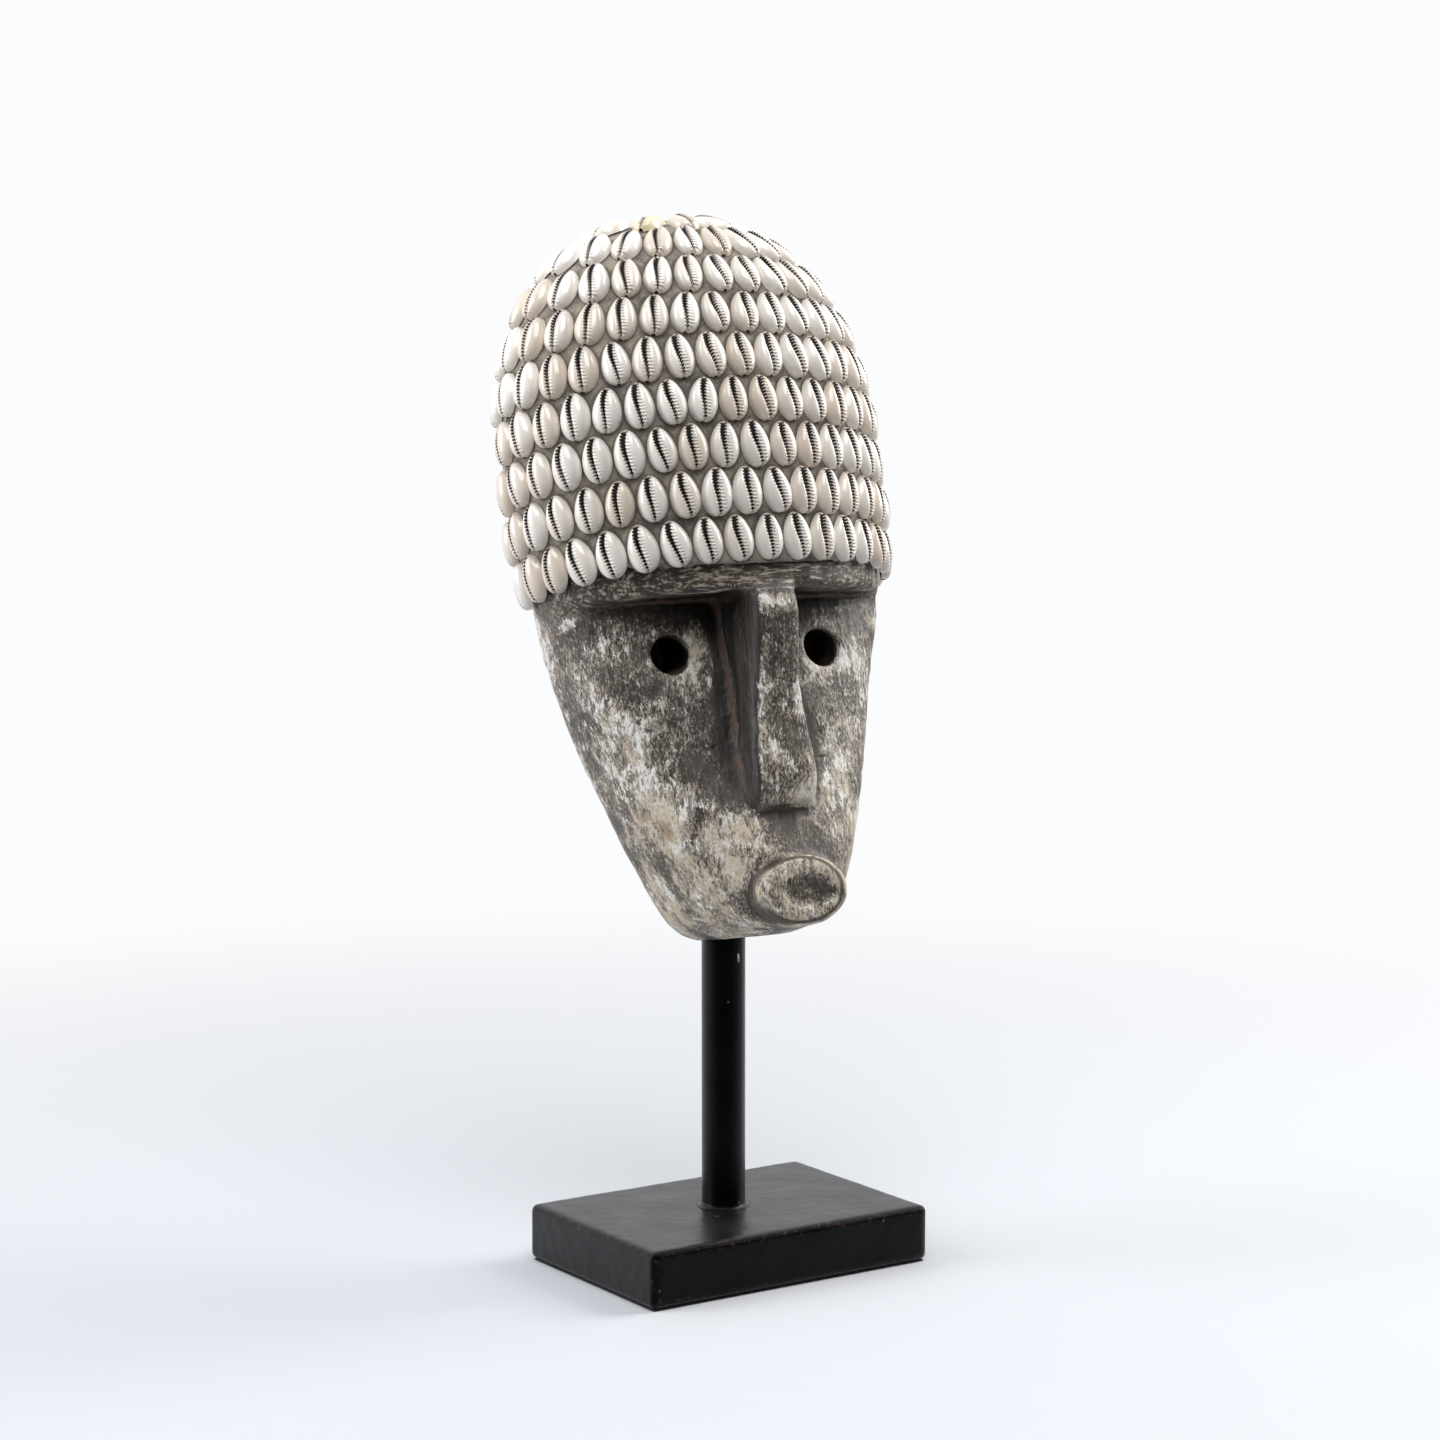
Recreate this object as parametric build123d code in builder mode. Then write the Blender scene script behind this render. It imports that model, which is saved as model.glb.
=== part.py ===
from build123d import *
from math import cos, pi, radians, sin, tan
import os

# A carved wooden face mask with a cap of cowrie shells, on a round pole and a rectangular base.
# Millimetres, +Z up. The origin is under the middle of the base, where its felt sheet lies
# on the table. The face looks along -Y.

# ---- driving dimensions: the stand ----
base_width = 150.0
base_depth = 104.6
base_height = 25.6
base_edge = 1.2            # radius of the softened edges of the base
felt_thickness = 0.8
felt_inset = 1.5           # the felt stops short of the edges of the base
pole_x = -2.0              # the pole stands a little off the middle of the base
pole_y = 1.35
pole_radius = 10.0
pole_seat = 8.0            # how deep the pole stands in the base
pole_reach = 44.0          # how far the pole goes up into the chin
pole_chamfer = 1.0
fit_gap = 0.05             # radial gap of a seated pole or screw
turn_gap = 0.08            # radial gap that lets the mask turn on its pole
end_gap = 0.25             # free height above the pole, inside the chin
bead_radius = 2.2          # bead of filler round the foot of the pole
screw_radius = 2.5
screw_head_radius = 5.0
screw_length = 45.0
screw_point = 5.0          # length of the screw's conical tip
pilot_spare = 1.0          # the pilot hole goes this much past the screw
screw_sink = 0.6           # how far the screw head lies below the underside
slot_width = 1.2           # cross slot in the screw head
slot_length = 6.0
slot_depth = 1.8

# ---- driving dimensions: the mask, in the frame of its own leaning axis ----
chin_height = 149.0        # height of the chin's underside near the pole
face_turn = -5.9           # the mask stands slightly turned on its pole
face_lean = 12.0           # and its long axis leans back
face_shift = 2.5           # the middle of the face, to one side of the middle of the base
back_plane = 14.0          # the flat back, behind the mask's long axis
beyond = 400.0             # reach of the cuts that trim the head
widest = -8.0              # front-back place of the widest line (front is negative)
brow_height = 153.0        # underside of the brow ledge
crown_height = 325.5       # bare wood at the top of the head
skull_half_width = 87.0
skull_half_depth = 62.0
brow_half_width = 82.5
skull_drift = -3.0         # hand carving leaves the crown a little to one side
bulge_height = 215.0       # where the skull is widest
front_height = 185.0       # where the forehead starts to fall back
dome_side = 2.4            # how square the dome is seen from the front (2 is an ellipse)
dome_front = 2.3           # and seen from the side
dome_close = 1.0           # the dome would close this far above the crown
bedding = 2.0              # thickness of the layer that the shells are set in
hairline_front = 163.0     # lower edge of the bedding, in front
hairline_tilt = 6.6        # hairline and shell rows fall towards the back by this angle

# ---- driving dimensions: the carved features ----
eye_radius = 9.0
eye_spread = 38.3
eye_height = 128.0
eye_floor = 16.0           # the eyes are drilled blind, to this far in front of the long axis
nose_back = 20.0           # where the nose bar starts, inside the face
nose_flare = 3.0           # the bar is this much wider at its back, on each side
nose_corner = 4.0
mouth_height = 18.5
mouth_half_width = 21.5
mouth_half_height = 15.8
mouth_front = 76.0
mouth_length = 26.0        # the knob's length, most of it inside the chin
mouth_round = 3.0
dish_half_width = 15.0
dish_half_height = 8.5
dish_depth = 3.5
dish_floor_width = 0.7     # size of the dish's floor, as a part of its mouth
dish_floor_height = 0.6

# ---- driving dimensions: the shells ----
shell_length = 19.6
shell_width = 13.2
shell_cut = 0.8            # ground off the back of each shell
shell_belly = 0.43         # place of the widest line, as a part of the length
shell_slot = 1.0           # width of the opening
shell_slot_shift = -1.4    # the opening lies to one side of the middle
shell_slot_length = 0.8    # as a part of the length
shell_slot_floor = 0.3     # height of the opening's floor, as a part of the width
shell_gap = 0.2            # between shell and bedding
shell_pitch = 14.3         # along a row
row_pitch = 20.8           # between rows
row_rise = 10.4            # middle of the first row, above the hairline
row_count = 9
rim_clearance = 6.0        # from the last shell of a row to the flat back
crown_spread = 1.2         # the short last row is set wider, so that its tips stay apart
crown_row_y = -3.0         # front-back place of the shells on top
nudge = 0.01               # step that finds a direction on the curved bedding
angle_step = 0.004         # steps of the walk along a row and up the front
level_step = 0.1
row_passes = 12            # passes that settle the height of a point on a tilted row
halvings = 40

os.makedirs("parts", exist_ok=True)

base_top = felt_thickness + base_height
pole_foot = base_top - pole_seat
pole_top = chin_height + pole_reach
screw_low = felt_thickness + screw_sink
screw_tip = screw_low + screw_length
pole_ground = Plane(origin=(pole_x, pole_y, 0))
pole_section = Plane(origin=(pole_x, pole_y, 0), x_dir=(1, 0, 0), z_dir=(0, -1, 0))
pole_axis = Axis((pole_x, pole_y, 0), (0, 0, 1))


def save(builder, name):
    """Label a finished piece and write its file."""
    builder.part.label = name
    export_step(builder.part, f"parts/{name}.step")


# ---- felt sheet glued under the base, over the screw ----
with BuildPart() as felt_sheet:
    with BuildSketch():
        Rectangle(base_width - 2 * felt_inset, base_depth - 2 * felt_inset)
    extrude(amount=felt_thickness)
save(felt_sheet, "felt_sheet")

# ---- base block: softened edges, a seat for the pole, a countersunk hole from below ----
sink_top = screw_low + screw_head_radius - screw_radius
with BuildPart() as base_block:
    with BuildSketch(Plane.XY.offset(felt_thickness)):
        Rectangle(base_width, base_depth)
    extrude(amount=base_height)
    fillet(base_block.edges(), base_edge)
    with BuildSketch(pole_ground.offset(base_top)):
        Circle(pole_radius + fit_gap)
    extrude(amount=-pole_seat, mode=Mode.SUBTRACT)
    with BuildSketch(pole_section):
        with BuildLine():
            Polyline(
                (0, felt_thickness),
                (screw_head_radius, felt_thickness),
                (screw_head_radius, screw_low),
                (screw_radius + fit_gap, sink_top - fit_gap),
                (screw_radius + fit_gap, pole_foot),
                (0, pole_foot),
                close=True,
            )
        make_face()
    revolve(axis=pole_axis, mode=Mode.SUBTRACT)
save(base_block, "base_block")

# ---- countersunk wood screw from below into the pole's end grain ----
with BuildPart() as base_screw:
    with BuildSketch(pole_section):
        with BuildLine():
            Polyline(
                (0, screw_low),
                (screw_head_radius, screw_low),
                (screw_radius, sink_top),
                (screw_radius, screw_tip - screw_point),
                (0, screw_tip),
                close=True,
            )
        make_face()
    revolve(axis=pole_axis)
    with BuildSketch(pole_ground.offset(screw_low)):
        Rectangle(slot_width, slot_length)
        Rectangle(slot_length, slot_width)
    extrude(amount=slot_depth, mode=Mode.SUBTRACT)
save(base_screw, "base_screw")

# ---- pole: a plain dowel with a pilot hole and a softened top ----
with BuildPart() as pole:
    with BuildSketch(pole_ground.offset(pole_foot)):
        Circle(pole_radius)
    extrude(amount=pole_top - pole_foot)
    chamfer(pole.faces().sort_by(Axis.Z)[-1].edges(), pole_chamfer)
    with BuildSketch(pole_ground.offset(pole_foot)):
        Circle(screw_radius + fit_gap)
    extrude(amount=screw_tip + pilot_spare - pole_foot, mode=Mode.SUBTRACT)
save(pole, "pole")

# ---- bead of filler in the corner between pole and base ----
with BuildPart() as foot_bead:
    with BuildSketch(pole_section):
        with BuildLine():
            outer = pole_radius + bead_radius
            Line((pole_radius, base_top), (outer, base_top))
            RadiusArc((outer, base_top), (pole_radius, base_top + bead_radius), bead_radius)
            Line((pole_radius, base_top + bead_radius), (pole_radius, base_top))
        make_face()
    revolve(axis=pole_axis)
save(foot_bead, "foot_bead")

# ---- the mask's own frame: z up along the leaning face, y to the back ----
turned = Location((0, 0, chin_height), (0, 0, face_turn))
head = Plane(turned * Location((face_shift, 0, 0), (-face_lean, 0, 0)))
behind = Plane(origin=head.from_local_coords((0, back_plane, 0)), x_dir=head.x_dir, z_dir=head.y_dir)


def power_wave(value, power):
    """A sine or cosine raised to a power, with its sign kept."""
    return abs(value) ** power * (1 if value > 0 else -1)


def slice_at(height, half_width, front, back, fullness, drift=0.0):
    """A slice of the head, square to its long axis: a full front half and an elliptic back half."""
    steps = 24
    points = []
    for step in range(steps):
        angle = 2 * pi * step / steps
        in_front = step > steps / 2
        power = 2 / fullness if in_front else 1
        depth = front if in_front else back
        x = drift + half_width * power_wave(cos(angle), power)
        points.append((x, widest + depth * power_wave(sin(angle), power)))
    with BuildSketch(head.offset(height)) as slice_sketch:
        with BuildLine():
            Spline(*points, periodic=True)
        make_face()
    return slice_sketch.sketch


def skull_size(height, extra):
    """Half width, half depth and sideways drift of the skull at a height, grown by extra."""
    top = crown_height + dome_close + extra
    across = skull_half_width + extra
    along = skull_half_depth + extra
    if height > bulge_height:
        rise = (height - bulge_height) / (top - bulge_height)
        across *= (1 - rise**dome_side) ** (1 / dome_side)
    else:
        fall = (bulge_height - height) / (bulge_height - brow_height)
        across -= (skull_half_width - brow_half_width) * fall**2
    if height > front_height:
        rise = (height - front_height) / (top - front_height)
        along *= (1 - rise**dome_front) ** (1 / dome_front)
    drift = skull_drift * min(1.0, max(0.0, (height - brow_height) / (bulge_height - brow_height)))
    return across, along, drift


def skull(extra):
    """The skull as one smooth body, from the brow ledge to the crown."""
    levels = [brow_height, 170, 190, 212, 234, 254, 272, 287, 299, 309, 317, 322.5, crown_height]
    slices = []
    for level in levels:
        height = level if level == brow_height else level + extra
        across, along, drift = skull_size(height, extra)
        slices.append(slice_at(height, across, along, along, 2.0, drift))
    return loft(slices)


# Slices of the face below the brow: height, half width, front, back, fullness of the front.
face_slices = [
    (1.0, 15.0, 34.0, 30.0, 2.2),
    (4.0, 24.0, 48.0, 31.0, 2.3),
    (11.0, 33.0, 56.5, 33.0, 2.5),
    (25.0, 41.5, 59.0, 35.0, 2.7),
    (45.0, 50.5, 54.5, 42.0, 2.9),
    (70.0, 60.0, 47.0, 50.0, 3.0),
    (95.0, 67.5, 41.5, 76.0, 3.0),
    (120.0, 74.5, 37.0, 90.0, 3.0),
    (153.0, 82.5, 30.0, 66.0, 3.0),
    (175.0, 81.0, 28.0, 62.0, 3.0),
]

# Slices of the nose bar: height, half width of its front, front.
nose_slices = [
    (57.0, 15.0, 63.0),
    (70.0, 15.8, 67.5),
    (90.0, 14.0, 66.5),
    (112.0, 11.8, 67.5),
    (156.0, 10.5, 70.0),
]

# Slices of the hollow back: height, half width, depth from the back plane.
hollow_slices = [
    (68.0, 14.0, 7.0),
    (80.0, 30.0, 15.0),
    (105.0, 44.0, 20.0),
    (140.0, 55.0, 25.0),
    (185.0, 64.0, 40.0),
    (235.0, 66.0, 45.0),
    (272.0, 56.0, 38.0),
    (295.0, 38.0, 25.0),
    (305.0, 20.0, 12.0),
]


def nose_slice(height, half_width, front):
    """A slice of the nose bar, wider at the back, with two rounded front corners."""
    with BuildSketch(head.offset(height)) as bar_sketch:
        with BuildLine():
            base = half_width + nose_flare
            Polyline(
                (-half_width, -front),
                (-base, -nose_back),
                (base, -nose_back),
                (half_width, -front),
                close=True,
            )
        make_face()
        fillet(bar_sketch.vertices().group_by(Axis.Y)[0], nose_corner)
    return bar_sketch.sketch


def hollow_slice(height, half_width, depth):
    """A slice of the hollow, an ellipse centred on the back plane."""
    with BuildSketch(head.offset(height)) as hollow_sketch:
        with Locations((0, back_plane)):
            Ellipse(half_width, depth)
    return hollow_sketch.sketch


def front_plane(across, front, height):
    """A plane that looks out of the face, at a place in the head's frame."""
    return Plane(
        origin=head.from_local_coords((across, -front, height)), x_dir=head.x_dir, z_dir=-head.y_dir
    )


# ---- the mouth knob: an oval button with a rounded rim and a shallow dish, facing up ----
with BuildPart() as mouth:
    with BuildSketch():
        Ellipse(mouth_half_width, mouth_half_height)
    extrude(amount=-mouth_length)
    fillet(mouth.faces().sort_by(Axis.Z)[-1].edges(), mouth_round)
    with BuildSketch():
        Ellipse(dish_half_width, dish_half_height)
    with BuildSketch(Plane.XY.offset(-dish_depth)):
        Ellipse(dish_half_width * dish_floor_width, dish_half_height * dish_floor_height)
    loft(mode=Mode.SUBTRACT)
mouth_place = front_plane(0, mouth_front, mouth_height).location

# ---- the mask: skull, face, nose and mouth carved from one block, hollow behind ----
skull_solid = skull(0.0)
with BuildPart() as mask_body:
    add(skull_solid)
    loft([slice_at(*size) for size in face_slices])
    loft([nose_slice(*size) for size in nose_slices])
    add(mouth.part.moved(mouth_place))
    loft([hollow_slice(*size) for size in hollow_slices], mode=Mode.SUBTRACT)
    with BuildSketch(front_plane(0, skull_half_depth, eye_height)):
        with Locations((-eye_spread, 0), (eye_spread, 0)):
            Circle(eye_radius)
    extrude(amount=eye_floor - skull_half_depth, mode=Mode.SUBTRACT)
    with BuildSketch(behind):
        Rectangle(2 * beyond, 2 * beyond)
    extrude(amount=beyond, mode=Mode.SUBTRACT)
    with BuildSketch(pole_ground.offset(pole_top + end_gap)):
        Circle(pole_radius + turn_gap)
    extrude(amount=-2 * pole_reach, mode=Mode.SUBTRACT)
save(mask_body, "mask_body")

# ---- the bedding layer over the skull, from the hairline to the crown ----
hairline_origin = head.from_local_coords((0, -skull_half_depth + widest, hairline_front))
hairline = Plane(head.location * Location((0, 0, 0), (hairline_tilt, 0, 0)))
hairline = Plane(origin=hairline_origin, x_dir=hairline.x_dir, z_dir=hairline.z_dir)
with BuildPart() as cap_bedding:
    add(skull(bedding))
    add(skull_solid, mode=Mode.SUBTRACT)
    with BuildSketch(hairline):
        Rectangle(2 * beyond, 2 * beyond)
    extrude(amount=-beyond, mode=Mode.SUBTRACT)
    with BuildSketch(behind):
        Rectangle(2 * beyond, 2 * beyond)
    extrude(amount=beyond, mode=Mode.SUBTRACT)
save(cap_bedding, "cap_bedding")

# ---- one cowrie shell: half an egg, ground flat behind, with its long opening ----
lower = shell_length * shell_belly
upper = shell_length - lower
with BuildPart() as cowrie:
    with BuildSketch():
        with BuildLine():
            EllipticalCenterArc((0, 0), shell_width / 2, upper, 90)
            EllipticalCenterArc((0, 0), shell_width / 2, lower, 180)
            Line((0, -lower), (0, upper))
        make_face()
    revolve(axis=Axis.Y, revolution_arc=180)
    split(bisect_by=Plane.XY.offset(shell_cut))
    with BuildSketch(Plane.XY.offset(shell_width)):
        with Locations((shell_slot_shift, (upper - lower) / 2)):
            SlotOverall(shell_length * shell_slot_length, shell_slot, rotation=90)
    extrude(amount=shell_width * (shell_slot_floor - 1), mode=Mode.SUBTRACT)


def skin_point(angle, height):
    """A point of the bedding's outside, in the head's frame: angle 0 is the middle of the front."""
    across, along, drift = skull_size(height, bedding)
    return Vector(drift + across * sin(angle), widest - along * cos(angle), height)


def row_point(angle, front_level):
    """The same on a tilted row that passes the front at front_level."""
    height = front_level
    for _ in range(row_passes):
        y = skin_point(angle, height).Y
        height = front_level - (y - widest + skull_half_depth) * tan(radians(hairline_tilt))
    return skin_point(angle, height)


def crown_point(x, y):
    """A point of the bedding's outside above a place of the crown, found by halving."""
    low = bulge_height
    high = crown_height + bedding
    for _ in range(halvings):
        height = (low + high) / 2
        across, along, drift = skull_size(height, bedding)
        inside = ((x - drift) / across) ** 2 + ((y - widest) / along) ** 2 < 1
        low, high = (height, high) if inside else (low, height)
    return Vector(x, y, low)


def shell_location(here, sideways, upward):
    """Where a shell sits: its back on the bedding, its long axis from here towards upward."""
    normal = (sideways - here).cross(upward - here).normalized()
    seat = here + normal * (shell_gap - shell_cut)
    local = Plane(origin=seat, x_dir=(upward - here).cross(normal), z_dir=normal)
    return head.location * local.location


def row_shell(angle, front_level):
    """The place of a shell on a row."""
    here = row_point(angle, front_level)
    return shell_location(here, skin_point(angle + nudge, here.Z), skin_point(angle, here.Z + nudge))


def crown_shell(x, y):
    """The place of a shell that lies on top of the crown."""
    return shell_location(crown_point(x, y), crown_point(x + nudge, y), crown_point(x, y + nudge))


def row_places(front_level, offset, pitch):
    """Evenly spaced shells along a tilted row, from the middle of the front to both rims."""
    places = []
    for side in (1, -1):
        angle = 0.0
        travelled = 0.0
        wanted = offset if side == 1 or offset > 0 else pitch
        point = row_point(angle, front_level)
        while point.Y < back_plane - rim_clearance and angle < pi:
            if travelled >= wanted:
                places.append(row_shell(side * angle, front_level))
                wanted += pitch
            angle += angle_step
            following = row_point(side * angle, front_level)
            travelled += (following - point).length
            point = following
    return places


def shell_group(places):
    """Copies of the cowrie at a list of places, as one node of separate solids."""
    with BuildPart() as group:
        for place in places:
            add(cowrie.part.moved(place), clean=False)
    return group


# ---- rows of shells up the head, evenly spaced along the middle of the front ----
level = hairline_front + row_rise
climbed = 0.0
point = row_point(0.0, level)
for number in range(row_count):
    while climbed < row_pitch * number:
        level += level_step
        following = row_point(0.0, level)
        climbed += (following - point).length
        point = following
    pitch = shell_pitch * (crown_spread if number == row_count - 1 else 1.0)
    places = row_places(level, pitch / 2 * (number % 2), pitch)
    shell_row = shell_group(places)
    save(shell_row, f"shell_row_{number + 1}")
    print("row", number + 1, "places", len(places), "solids", len(shell_row.solids()))

# ---- a few shells side by side on top of the crown ----
crown_places = [crown_shell(skull_drift + step * shell_pitch, crown_row_y) for step in (-1, 0, 1)]
shell_crown = shell_group(crown_places)
save(shell_crown, "shell_crown")
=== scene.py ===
# %% [markdown]
# # A carved mask with a cap of cowrie shells
#
# The object is a dark wooden face mask, brushed with limewash and rubbed back. Its head is set
# with rows of small glossy shells. It stands on a black dowel in a black block. The frame that is
# loaded here holds every part at its real size and place, in metres. Everything below dresses
# that frame: it never moves a part.

# %% Load the frame
import bmesh
import bpy
import math
import numpy as np
from mathutils import Matrix, Vector, noise


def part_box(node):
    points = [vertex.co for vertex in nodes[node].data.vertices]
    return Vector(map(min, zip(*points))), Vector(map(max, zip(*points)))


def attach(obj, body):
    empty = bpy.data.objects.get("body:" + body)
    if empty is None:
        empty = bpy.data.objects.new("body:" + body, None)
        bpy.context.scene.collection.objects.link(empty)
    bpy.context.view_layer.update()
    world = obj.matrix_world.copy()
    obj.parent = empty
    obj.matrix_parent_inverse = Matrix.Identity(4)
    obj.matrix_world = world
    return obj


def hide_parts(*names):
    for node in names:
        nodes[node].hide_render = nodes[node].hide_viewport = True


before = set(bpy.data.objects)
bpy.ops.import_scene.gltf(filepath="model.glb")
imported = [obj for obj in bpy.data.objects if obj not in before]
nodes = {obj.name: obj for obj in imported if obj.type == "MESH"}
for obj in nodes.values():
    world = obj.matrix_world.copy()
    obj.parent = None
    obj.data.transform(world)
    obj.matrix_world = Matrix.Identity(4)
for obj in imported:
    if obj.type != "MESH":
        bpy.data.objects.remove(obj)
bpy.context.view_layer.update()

MM = 0.001
shell_nodes = sorted(name for name in nodes if name.startswith("shell_"))
print("shell nodes:", shell_nodes)

# %% [markdown]
# ## The camera
#
# The camera looks down a little, from the left of the face, through a long lens, which keeps the
# block's edges nearly parallel. It is placed by angle and distance from a point on the dowel's
# line, so each can be changed without upsetting the other.

# %% Camera
scene = bpy.context.scene
VIEW_AZIMUTH = math.radians(-33.943)
VIEW_ELEVATION = math.radians(6.542)
VIEW_DISTANCE = 1.53692
VIEW_HEIGHT = 0.250345
VIEW_SHIFT = -0.00606
LENS_MM = 85
SENSOR_MM = 36

camera_data = bpy.data.cameras.new("camera")
camera_data.lens = LENS_MM
camera_data.sensor_width = SENSOR_MM
camera_data.shift_x = VIEW_SHIFT
camera_data.clip_start = 0.05
camera_data.clip_end = 60
camera = bpy.data.objects.new("camera", camera_data)
scene.collection.objects.link(camera)
towards_camera = Vector((
    math.sin(VIEW_AZIMUTH) * math.cos(VIEW_ELEVATION),
    -math.cos(VIEW_AZIMUTH) * math.cos(VIEW_ELEVATION),
    math.sin(VIEW_ELEVATION),
))
camera.location = Vector((0, 0, VIEW_HEIGHT)) + towards_camera * VIEW_DISTANCE
camera.rotation_mode = "QUATERNION"
camera.rotation_quaternion = (-towards_camera).to_track_quat("-Z", "Y")
scene.camera = camera
print("camera at", [round(v, 3) for v in camera.location])

# %% [markdown]
# ## The lights
#
# Product light is large and soft: one big panel on each side and one overhead. A large panel
# close to the object gives soft shadows and long, gentle highlights on gloss.

# %% Lights
AIM_HEIGHT = 0.28


def panel(name, azimuth, elevation, distance, size, power, colour):
    """A soft rectangular light that faces the object from a direction, in degrees."""
    light = bpy.data.lights.new(name, "AREA")
    light.shape = "RECTANGLE"
    light.size, light.size_y = size
    light.energy = power
    light.color = colour
    lamp = bpy.data.objects.new(name, light)
    scene.collection.objects.link(lamp)
    turn, rise = math.radians(azimuth), math.radians(elevation)
    level = math.cos(rise)
    back = Vector((math.sin(turn) * level, -math.cos(turn) * level, math.sin(rise)))
    lamp.location = Vector((0, 0, AIM_HEIGHT)) + back * distance
    lamp.rotation_mode = "QUATERNION"
    lamp.rotation_quaternion = (-back).to_track_quat("-Z", "Y")


panel("panel_right", 74, 32, 1.5, (0.8, 1.2), 24, (1.0, 0.985, 0.965))
panel("panel_left", -112, 24, 1.6, (0.8, 1.3), 17, (0.97, 0.985, 1.0))
panel("panel_top", -25, 62, 1.7, (1.1, 1.1), 21, (0.985, 0.99, 1.0))

# %% [markdown]
# ## Small helpers for shader trees
#
# Every finish below is a tree of nodes. These helpers keep each line of a tree to one idea: make
# a node, set its constants, and link what varies. Sizes are given in millimetres, because that is
# how a maker thinks of a flake or a grain; the object is in metres, so a scale of 1000 is 1 mm.

# %% Tree helpers
def feed(tree, socket, value):
    """Set a constant on a socket, or link another node's output to it."""
    if isinstance(value, bpy.types.NodeSocket):
        tree.links.new(value, socket)
    elif isinstance(value, tuple) and len(value) == 3 and socket.type == "RGBA":
        socket.default_value = (*value, 1.0)
    else:
        socket.default_value = value


def node(tree, kind, settings=None, **inputs):
    """A node with its settings and its named inputs."""
    made = tree.nodes.new(kind)
    for key, value in (settings or {}).items():
        setattr(made, key, value)
    for key, value in inputs.items():
        feed(tree, made.inputs[key.replace("_", " ")], value)
    return made


def blotches(tree, place, size_mm, detail=3.0, rough=0.5, twist=0.0, seed=0.0):
    """Noise between 0 and 1 whose blotches are about size_mm across."""
    made = node(tree, "ShaderNodeTexNoise", {"noise_dimensions": "4D"}, Vector=place, W=seed,
                Scale=1000.0 / size_mm, Detail=detail, Roughness=rough, Distortion=twist)
    return made.outputs["Fac"]


def between(tree, value, low, high, start=0.0, end=1.0):
    """start below low, end above high, and a smooth step between them."""
    made = node(tree, "ShaderNodeMapRange", {"interpolation_type": "SMOOTHSTEP"}, Value=value,
                From_Min=low, From_Max=high, To_Min=start, To_Max=end)
    return made.outputs["Result"]


def maths(tree, what, first, second=0.0, clamp=False):
    """One sum, product, minimum and so on."""
    made = tree.nodes.new("ShaderNodeMath")
    made.operation = what
    made.use_clamp = clamp
    feed(tree, made.inputs[0], first)
    feed(tree, made.inputs[1], second)
    return made.outputs[0]


def times(tree, first, second):
    """A product."""
    return maths(tree, "MULTIPLY", first, second)


def plus(tree, first, second, clamp=False):
    """A sum, held between 0 and 1 if asked."""
    return maths(tree, "ADD", first, second, clamp)


def minus(tree, first, second, clamp=False):
    """A difference, held between 0 and 1 if asked."""
    return maths(tree, "SUBTRACT", first, second, clamp)


def mixed(tree, amount, first, second):
    """Two colours mixed by an amount."""
    made = tree.nodes.new("ShaderNodeMix")
    made.data_type = "RGBA"
    feed(tree, made.inputs[0], amount)
    feed(tree, made.inputs[6], first)
    feed(tree, made.inputs[7], second)
    return made.outputs[2]


def object_place(tree):
    """Object coordinates, in metres."""
    return tree.nodes.new("ShaderNodeTexCoord").outputs["Object"]


def stretched(tree, place, scale):
    """Coordinates scaled by axis, so that a pattern runs long in one direction."""
    made = tree.nodes.new("ShaderNodeMapping")
    feed(tree, made.inputs["Vector"], place)
    made.inputs["Scale"].default_value = scale
    return made.outputs["Vector"]


def attribute(tree, name):
    """A value stored on the mesh."""
    made = tree.nodes.new("ShaderNodeAttribute")
    made.attribute_name = name
    return made.outputs["Fac"]


def bumped(tree, height, distance_mm, strength=1.0):
    """A normal bent by a height."""
    made = node(tree, "ShaderNodeBump", Height=height)
    made.inputs["Distance"].default_value = distance_mm * MM
    made.inputs["Strength"].default_value = strength
    return made.outputs["Normal"]


def finish_tree(name):
    """A new material, its tree and its Principled shader."""
    material = bpy.data.materials.new(name)
    material.use_nodes = True
    return material, material.node_tree, material.node_tree.nodes["Principled BSDF"]


def new_group(name, inputs, outputs):
    """A shader node group with named inputs (name, type, default) and outputs (name, type)."""
    tree = bpy.data.node_groups.new(name, "ShaderNodeTree")
    for title, kind, default in inputs:
        socket = tree.interface.new_socket(name=title, in_out="INPUT", socket_type=kind)
        if default is not None:
            socket.default_value = default
    for title, kind in outputs:
        tree.interface.new_socket(name=title, in_out="OUTPUT", socket_type=kind)
    start = tree.nodes.new("NodeGroupInput")
    end = tree.nodes.new("NodeGroupOutput")
    return tree, start.outputs, end.inputs


def placed_group(tree, group, **inputs):
    """A group placed in a tree, with its inputs set or linked."""
    made = tree.nodes.new("ShaderNodeGroup")
    made.node_tree = group
    for key, value in inputs.items():
        feed(tree, made.inputs[key.replace("_", " ")], value)
    return made.outputs


# %% [markdown]
# ## The room
#
# The room lights the object from behind and above more than from the front, so the pale rim of
# the object stays bright and its dark parts stay dark. What the camera sees behind the object is a
# separate, even tone, which the light path node picks for rays that come from the camera.

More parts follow.
